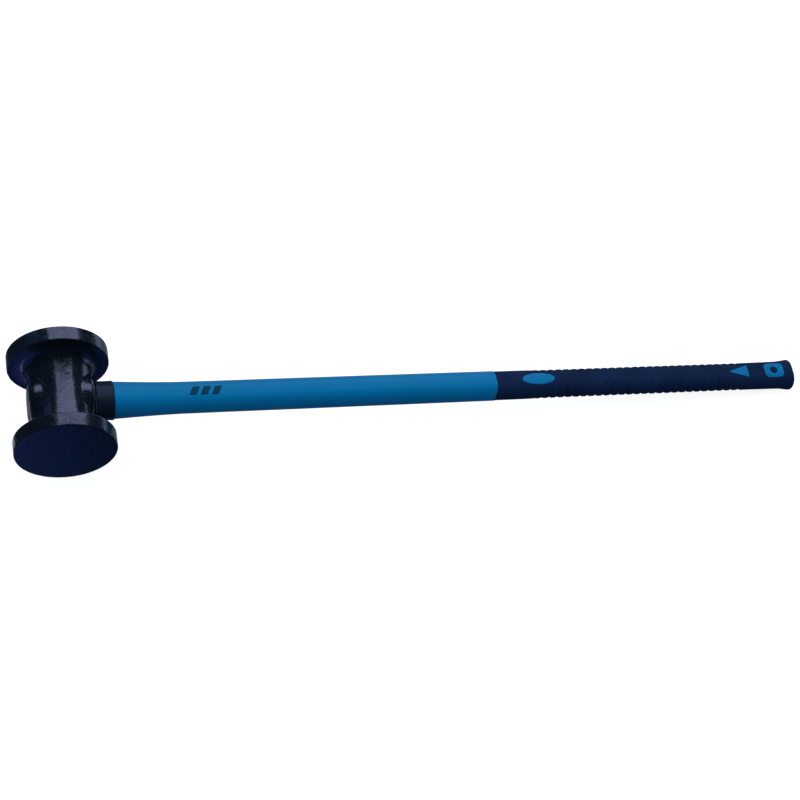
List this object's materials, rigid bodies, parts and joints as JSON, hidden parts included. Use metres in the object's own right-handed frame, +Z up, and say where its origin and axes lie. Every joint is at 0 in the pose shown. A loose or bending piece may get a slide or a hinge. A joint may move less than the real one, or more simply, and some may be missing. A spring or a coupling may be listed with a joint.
{
  "type": "fencing maul",
  "caption": "Fencing maul lying on its side: cast-iron head with a broad striking disc at each end, on a long oval handle with a smooth jacket, rubber collar and ribbed rubber grip.",
  "frame": {"origin": "middle of the footprint of the maul lying on its side, on the ground", "axes": "+X from the head towards the butt of the handle, Y along the head's axis from face to face, +Z up"},
  "size_m": [0.926, 0.1264, 0.1124],
  "materials": {
    "head_iron": "black enamel over fine as-cast texture",
    "resin": "cured epoxy",
    "dam_foam": "foamed cord",
    "core": "pultruded glass fibre in resin",
    "collar_rubber": "satin moulded rubber",
    "jacket": "satin polypropylene",
    "grip_rubber": "matt moulded rubber",
    "foil": "hot-pressed foil"
  },
  "bodies": {
    "root": {"head_casting": "head_iron", "eye_resin": "resin", "resin_dam": "dam_foam", "fibreglass_core": "core", "neck_collar": "collar_rubber", "shaft_jacket": "jacket", "grip_sleeve": "grip_rubber", "badge_pads": "grip_rubber", "foil_mark": "foil"}
  },
  "joints": []
}
